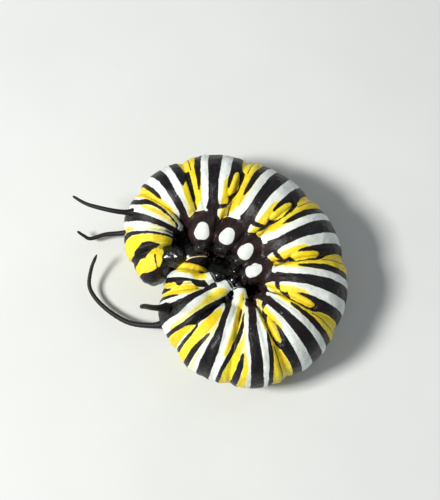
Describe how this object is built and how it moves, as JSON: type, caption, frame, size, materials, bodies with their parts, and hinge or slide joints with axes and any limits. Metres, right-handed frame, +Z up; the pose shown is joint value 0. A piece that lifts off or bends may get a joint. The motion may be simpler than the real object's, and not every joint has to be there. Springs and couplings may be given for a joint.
{
  "type": "monarch butterfly larva",
  "caption": "Life-size banded butterfly larva, curled up and lying on its left side, with black head, legs, prolegs and long soft filaments.",
  "frame": {"origin": "middle of the whole footprint, at the ground that the larva lies on", "axes": "+Z up, out of the larva's right side; +X away from the open side of the curl, the filaments pointing to -X; +Y from the legs' side of the thorax to the sixth ring of the abdomen"},
  "size_m": [0.0244, 0.0212, 0.0146],
  "materials": {
    "skin": "soft, faintly moist skin with bands of white, yellow and black",
    "filament_skin": "matt black skin",
    "head_shell": "smooth hard shell, black with yellow bands",
    "leg_shell": "glossy black hard shell"
  },
  "bodies": {
    "root": {"prothorax": "skin", "mesothorax": "skin", "metathorax": "skin", "abdomen_1": "skin", "abdomen_2": "skin", "abdomen_3": "skin", "abdomen_4": "skin", "abdomen_5": "skin", "abdomen_6": "skin", "abdomen_7": "skin", "abdomen_8": "skin", "abdomen_9": "skin", "abdomen_10": "skin", "head": "head_shell", "labrum": "leg_shell", "mandible_right": "leg_shell", "mandible_left": "leg_shell", "labium": "leg_shell", "antenna_right": "leg_shell", "antenna_left": "leg_shell", "leg_front_right": "leg_shell", "leg_middle_right": "leg_shell", "leg_rear_right": "leg_shell", "leg_front_left": "leg_shell", "leg_middle_left": "leg_shell", "leg_rear_left": "leg_shell", "proleg_3_right": "skin", "proleg_4_right": "skin", "proleg_5_right": "skin", "proleg_6_right": "skin", "proleg_3_left": "skin", "proleg_4_left": "skin", "proleg_5_left": "skin", "proleg_6_left": "skin", "hind_proleg_right": "leg_shell", "hind_proleg_left": "leg_shell", "front_filament_right_1": "filament_skin", "front_filament_right_2": "filament_skin", "front_filament_right_3": "filament_skin", "front_filament_left_1": "filament_skin", "front_filament_left_2": "filament_skin", "front_filament_left_3": "filament_skin", "front_filament_left_4": "filament_skin", "rear_filament_right_1": "filament_skin", "rear_filament_right_2": "filament_skin", "rear_filament_left_1": "filament_skin", "rear_filament_left_2": "filament_skin"}
  },
  "joints": []
}
